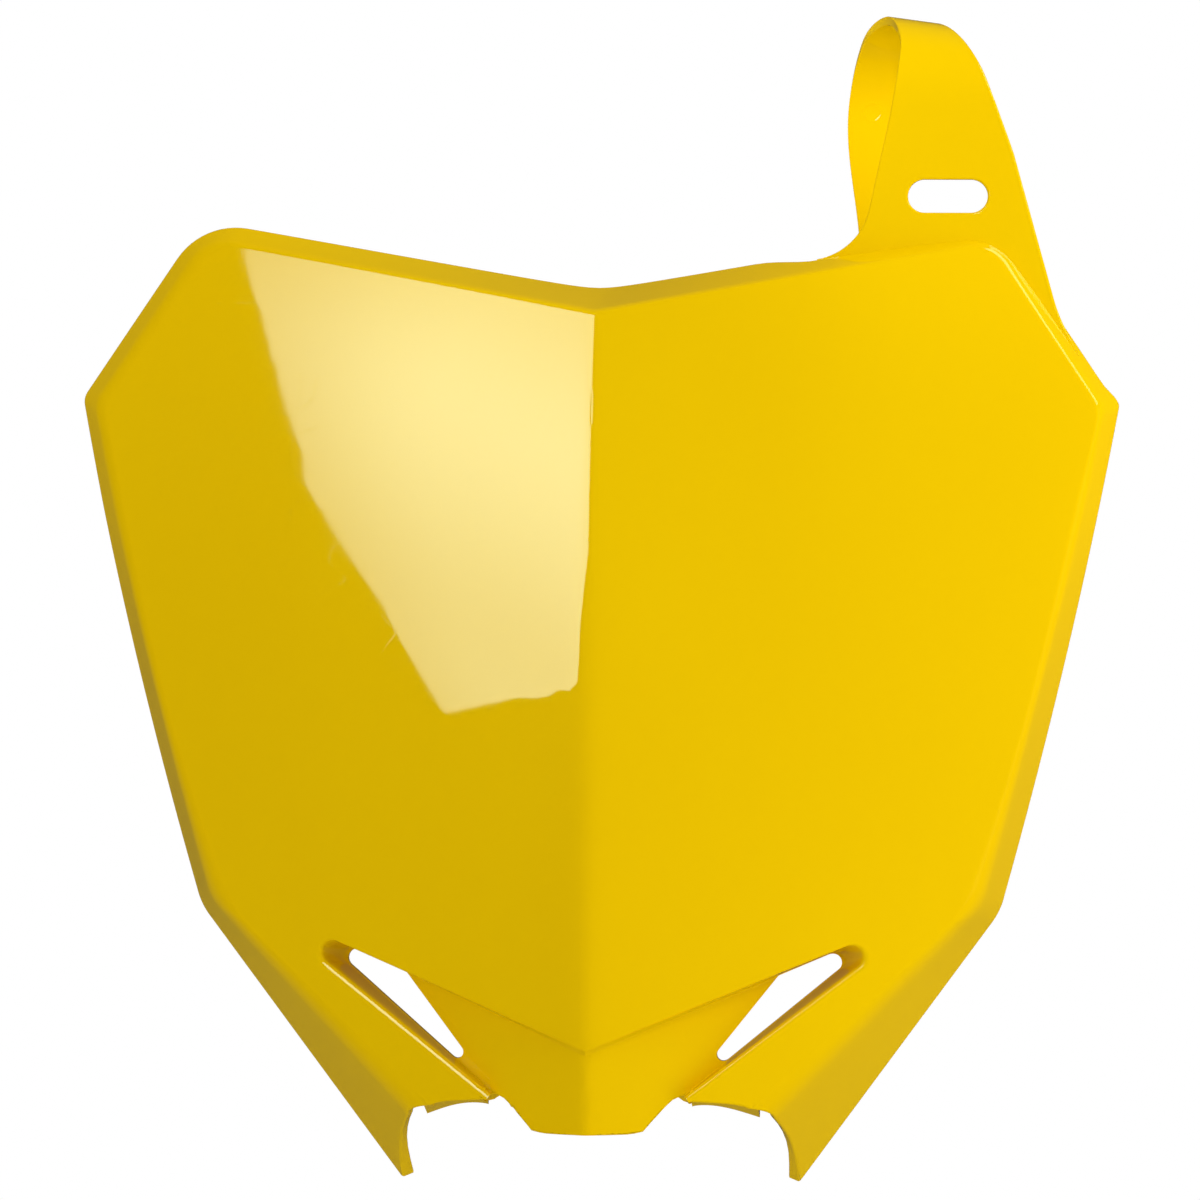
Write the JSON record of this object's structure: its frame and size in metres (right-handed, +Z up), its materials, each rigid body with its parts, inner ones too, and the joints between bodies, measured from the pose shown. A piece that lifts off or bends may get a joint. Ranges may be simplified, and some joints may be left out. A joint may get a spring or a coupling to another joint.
{
  "type": "racing number board",
  "caption": "Front number plate for an off-road motorcycle: a thin folded plastic shell with a slotted tab, a strap that hooks over the handlebar, and a vented nose between its legs.",
  "frame": {"origin": "on the plate's centre plane, level with the tips of its legs and midway between its foremost ridge and the back of its strap", "axes": "+Z up along the ridge as the plate stands on the motorcycle, -Y forwards out of the face, +X towards the side with the tab and strap"},
  "size_m": [0.2518, 0.0772, 0.2858],
  "materials": {
    "yellow_plastic": "smooth moulded polypropylene with a soft gloss, coloured right through"
  },
  "bodies": {
    "root": {"number_plate": "yellow_plastic"}
  },
  "joints": []
}
